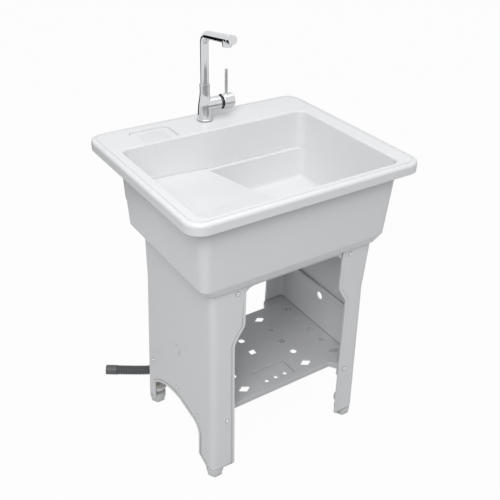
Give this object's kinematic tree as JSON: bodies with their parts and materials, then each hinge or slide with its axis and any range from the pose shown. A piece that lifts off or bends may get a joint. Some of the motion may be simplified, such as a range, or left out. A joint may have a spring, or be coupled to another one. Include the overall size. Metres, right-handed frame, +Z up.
{
  "type": "utility laundry sink",
  "caption": "Free-standing plastic laundry sink: a tub with a washboard, a soap tray and a deep bowl, and a single-lever swivel tap, on a moulded stand with a perforated shelf and a drain hose.",
  "frame": {"origin": "on the floor under the middle of the tub's rim", "axes": "+X to the right (the bowl's side), +Y to the back (the tap's side), +Z up"},
  "size_m": [0.6021, 0.568, 1.0122],
  "materials": {
    "tub_plastic": "satin white-grey moulded plastic, faint orange peel",
    "stand_plastic": "satin light grey moulded plastic",
    "shelf_plastic": "light grey moulded plastic",
    "foot_plastic": "grey moulded plastic",
    "insert_brass": "turned brass",
    "screw_steel": "zinc-plated steel",
    "drain_steel": "pressed stainless steel",
    "drain_plastic": "white moulded plastic",
    "rubber": "black rubber",
    "hose_plastic": "dark grey flexible plastic",
    "clamp_steel": "stainless steel band",
    "tap_chrome": "polished chrome plate",
    "tap_brass": "turned brass",
    "inner_steel": "stainless steel",
    "cartridge_plastic": "white engineering plastic",
    "black_plastic": "black moulded plastic"
  },
  "bodies": {
    "root": {"tub": "tub_plastic", "side_panel_left": "stand_plastic", "side_panel_right": "stand_plastic", "front_beam": "stand_plastic", "back_beam": "stand_plastic", "hole_plug": "stand_plastic", "shelf": "shelf_plastic", "foot_insert_front_left": "insert_brass", "foot_insert_front_right": "insert_brass", "foot_insert_back_left": "insert_brass", "foot_insert_back_right": "insert_brass", "frame_screws": "screw_steel", "shelf_screws": "screw_steel", "drain_flange": "drain_steel", "drain_bolt": "drain_steel", "drain_cup": "drain_plastic", "tail_nut": "drain_plastic", "hose_tail": "drain_plastic", "drain_gasket_upper": "rubber", "drain_gasket_lower": "rubber", "tap_base_gasket": "rubber", "drain_hose": "hose_plastic", "hose_cuff": "hose_plastic", "hose_clamp": "clamp_steel", "tap_body": "tap_chrome", "tap_shank": "tap_brass", "mounting_nut": "tap_brass", "mounting_washer": "tap_brass", "cartridge_housing": "cartridge_plastic", "cartridge_nut": "black_plastic"},
    "spout_arm": {"spout": "tap_chrome", "spout_collar": "tap_chrome", "spout_orings": "rubber", "spout_clip": "inner_steel", "aerator_housing": "tap_chrome", "aerator_insert": "cartridge_plastic", "aerator_gasket": "rubber"},
    "valve_driver": {"cartridge_driver": "cartridge_plastic", "tilt_pin": "inner_steel"},
    "lever_handle": {"handle_stem": "cartridge_plastic", "handle_cap": "tap_chrome", "handle_grub_screw": "inner_steel", "lever_pin": "tap_chrome"},
    "basket": {"strainer_basket": "drain_steel", "basket_knob": "drain_steel", "basket_seal": "rubber"},
    "foot_front_left_body": {"foot_front_left": "foot_plastic"},
    "foot_front_right_body": {"foot_front_right": "foot_plastic"},
    "foot_back_left_body": {"foot_back_left": "foot_plastic"},
    "foot_back_right_body": {"foot_back_right": "foot_plastic"}
  },
  "joints": [
    {"name": "spout_swivel", "type": "hinge", "parent": "root", "child": "spout_arm", "pos_m": [-0.005, 0.205, 0.86], "axis": [0, 0, 1], "continuous": true},
    {"name": "handle_temperature", "type": "hinge", "parent": "root", "child": "valve_driver", "pos_m": [0.046, 0.205, 0.8115], "axis": [1, 0, 0], "range_deg": [-45, 45]},
    {"name": "handle_flow", "type": "hinge", "parent": "valve_driver", "child": "lever_handle", "pos_m": [0.046, 0.205, 0.8115], "axis": [0, 1, 0], "range_deg": [0, 20]},
    {"name": "basket_lift", "type": "slide", "parent": "root", "child": "basket", "axis": [0, 0, 1], "range_m": [0, 0.12]},
    {"name": "foot_front_left_adjust", "type": "slide", "parent": "root", "child": "foot_front_left_body", "axis": [0, 0, -1], "range_m": [0, 0.012]},
    {"name": "foot_front_right_adjust", "type": "slide", "parent": "root", "child": "foot_front_right_body", "axis": [0, 0, -1], "range_m": [0, 0.012]},
    {"name": "foot_back_left_adjust", "type": "slide", "parent": "root", "child": "foot_back_left_body", "axis": [0, 0, -1], "range_m": [0, 0.012]},
    {"name": "foot_back_right_adjust", "type": "slide", "parent": "root", "child": "foot_back_right_body", "axis": [0, 0, -1], "range_m": [0, 0.012]}
  ]
}
